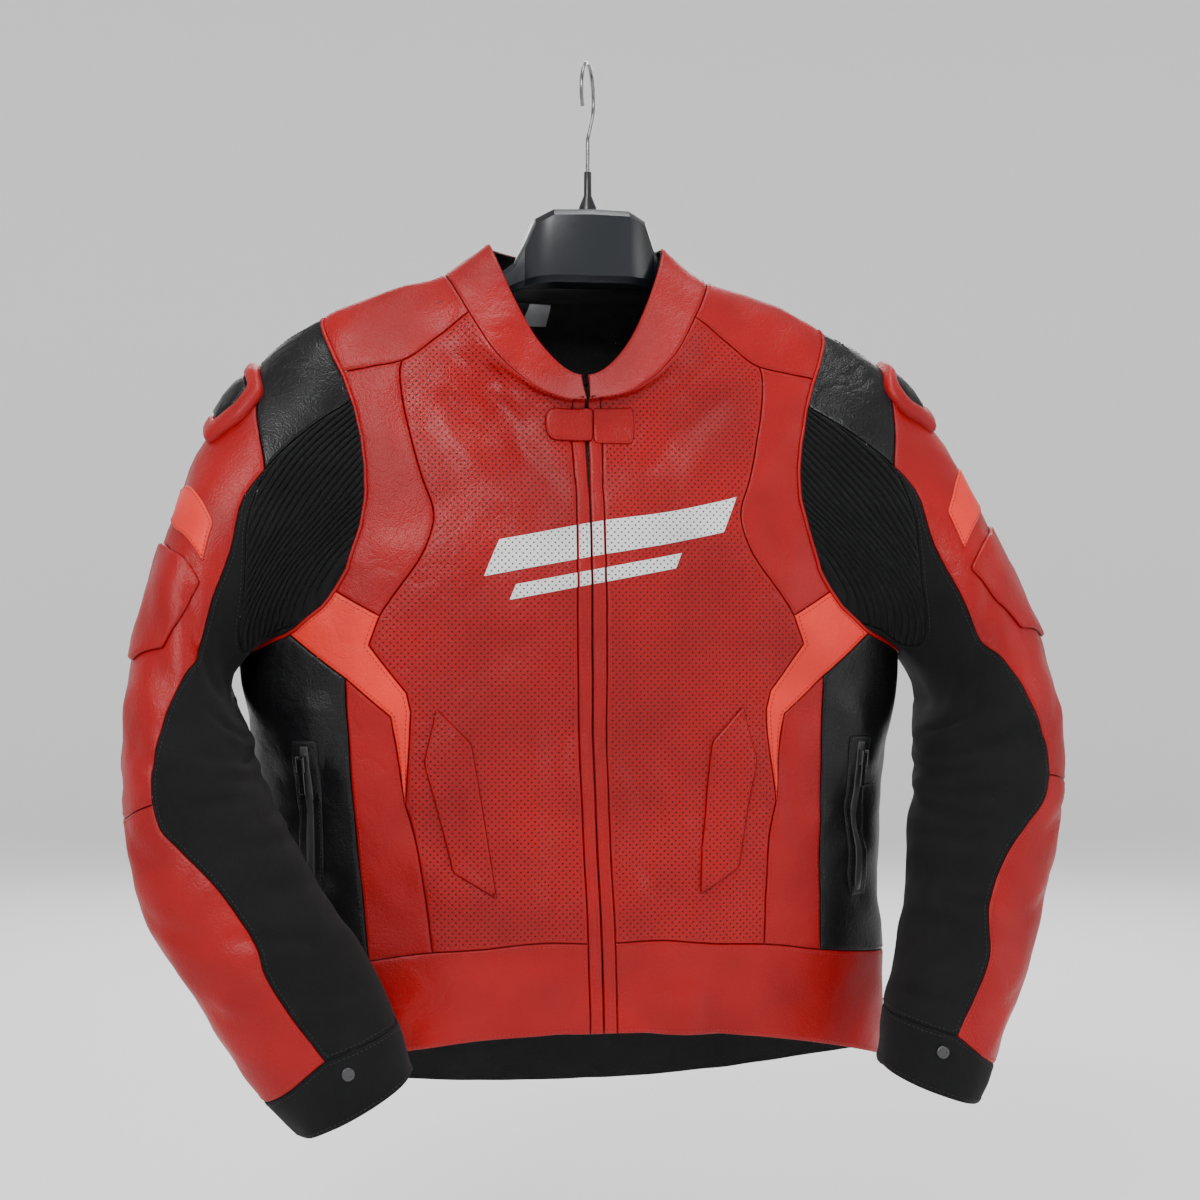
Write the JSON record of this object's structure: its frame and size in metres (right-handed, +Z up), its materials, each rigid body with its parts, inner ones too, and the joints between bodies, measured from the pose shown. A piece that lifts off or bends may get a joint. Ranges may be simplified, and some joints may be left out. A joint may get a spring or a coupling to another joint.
{
  "type": "leather motorcycle jacket on hanger",
  "caption": "Short fitted leather racing jacket with ribbed shoulder stretch panels and zipped pockets, hanging on a moulded hanger with a wire hook.",
  "frame": {"origin": "inside top of the hook's bend, where a rail carries it", "axes": "+Z up, -Y the front of the jacket, +X the wearer's left"},
  "size_m": [0.7312, 0.2674, 0.8267],
  "materials": {
    "red_leather": "semi-matt grained cowhide",
    "coral_leather": "semi-matt grained cowhide, lighter red",
    "black_leather": "semi-matt grained cowhide",
    "black_stretch": "matt stretch cloth",
    "lining": "matt woven lining",
    "zip_metal": "dark satin",
    "zip_black": "moulded zip chain and tape",
    "hanger_plastic": "satin moulded",
    "hook_steel": "bright wire"
  },
  "bodies": {
    "jacket": {"front_strip_left": "red_leather", "front_strip_right": "red_leather", "front_panel_left": "red_leather", "front_panel_right": "red_leather", "yoke_left": "red_leather", "yoke_right": "red_leather", "chest_side_left": "red_leather", "chest_side_right": "red_leather", "flash_left": "coral_leather", "flash_right": "coral_leather", "waist_side_left": "red_leather", "waist_side_right": "red_leather", "side_panel_left": "black_leather", "side_panel_right": "black_leather", "hem_band_left": "red_leather", "hem_band_right": "red_leather", "back_panel": "red_leather", "hem_band_back": "red_leather", "collar": "red_leather", "collar_lining": "lining", "neck_lining": "lining", "hem_lining": "lining", "front_zip_tape": "zip_black", "strap_tab": "red_leather", "strap_base": "red_leather", "vent_patch_left": "red_leather", "vent_patch_right": "red_leather", "pocket_welt_left": "black_leather", "pocket_welt_right": "black_leather", "pocket_chain_left": "zip_black", "pocket_chain_right": "zip_black", "pocket_slider_left": "zip_metal", "pocket_slider_right": "zip_metal", "shoulder_left": "black_leather", "shoulder_right": "black_leather", "rib_panel_left": "black_stretch", "rib_panel_right": "black_stretch", "inner_sleeve_left": "black_stretch", "inner_sleeve_right": "black_stretch", "upper_sleeve_left": "red_leather", "upper_sleeve_right": "red_leather", "forearm_left": "red_leather", "forearm_right": "red_leather", "cuff_left": "black_leather", "cuff_right": "black_leather", "arm_flash_left": "coral_leather", "arm_flash_right": "coral_leather", "elbow_patch_left": "red_leather", "elbow_patch_right": "red_leather", "cap_frame_left": "red_leather", "cap_frame_right": "red_leather", "cap_plate_left": "black_leather", "cap_plate_right": "black_leather", "cuff_snap_left": "zip_metal", "cuff_snap_right": "zip_metal", "hanger": "hanger_plastic", "hook_socket": "hanger_plastic", "hook": "hook_steel"},
    "pull_left": {"pocket_pull_left": "zip_metal"},
    "pull_right": {"pocket_pull_right": "zip_metal"}
  },
  "joints": [
    {"name": "pull_left_swing", "type": "hinge", "parent": "jacket", "child": "pull_left", "pos_m": [0.21048, -0.06321, -0.54741], "axis": [0.7876, 0.6162, 0], "range_deg": [-150, 0]},
    {"name": "pull_right_swing", "type": "hinge", "parent": "jacket", "child": "pull_right", "pos_m": [-0.22896, -0.0634, -0.54765], "axis": [0.8037, -0.5951, 0], "range_deg": [-150, 0]}
  ]
}
